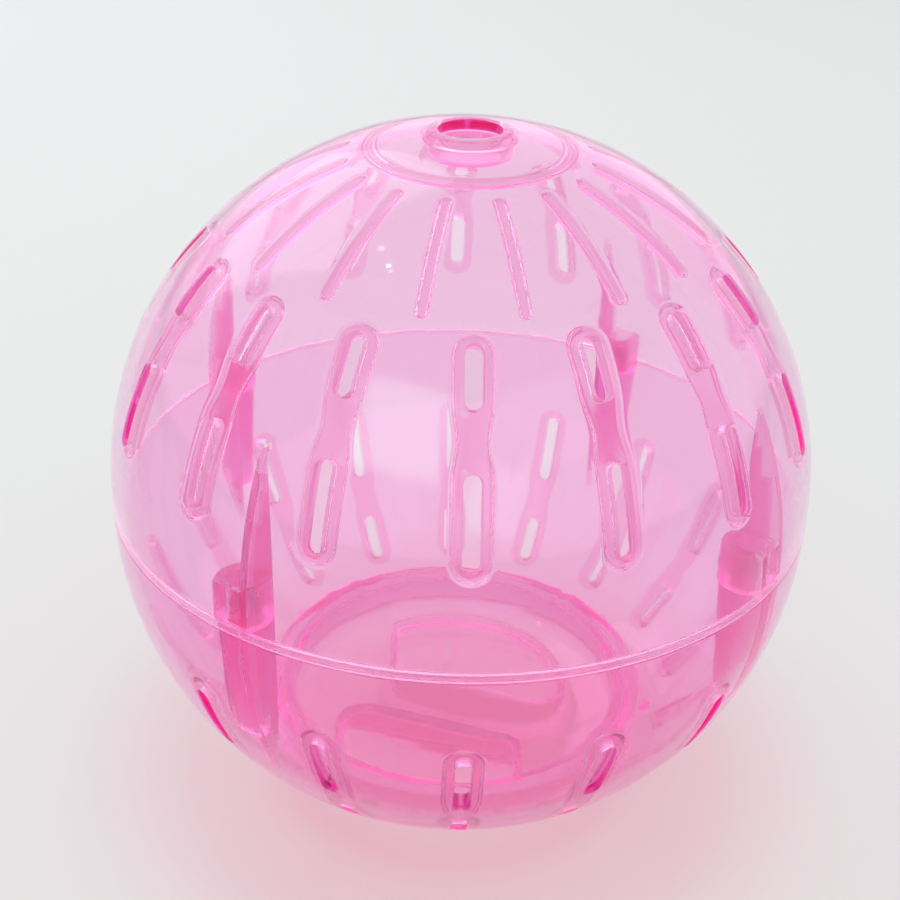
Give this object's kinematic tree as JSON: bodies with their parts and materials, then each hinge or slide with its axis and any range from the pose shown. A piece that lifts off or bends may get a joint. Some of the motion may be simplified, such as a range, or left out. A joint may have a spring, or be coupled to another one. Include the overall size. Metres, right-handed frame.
{
  "type": "hamster ball",
  "caption": "Clear pink exercise ball for a small pet: slotted half shells that close on pegs, a push-in door with finger wells, and a small round hole at the top.",
  "frame": {"origin": "centre of the ball, on the plane of the seam", "axes": "+Z through the middle of the small hole in the top, -Z through the middle of the door; -Y faces the camera of the picture"},
  "size_m": [0.1, 0.1, 0.103],
  "materials": {
    "pale_pink_plastic": "moulded clear, polished",
    "pink_plastic": "moulded clear, polished",
    "door_plastic": "moulded clear, polished"
  },
  "bodies": {
    "upper_half": {"upper_half": "pale_pink_plastic"},
    "lower_half": {"lower_half": "pink_plastic"},
    "door": {"door": "door_plastic"}
  },
  "joints": [
    {"name": "half_pull", "type": "slide", "parent": "upper_half", "child": "lower_half", "axis": [0, 0, -1], "range_m": [0, 0.012]},
    {"name": "door_pull", "type": "slide", "parent": "lower_half", "child": "door", "axis": [0, 0, -1], "range_m": [0, 0.012]}
  ]
}
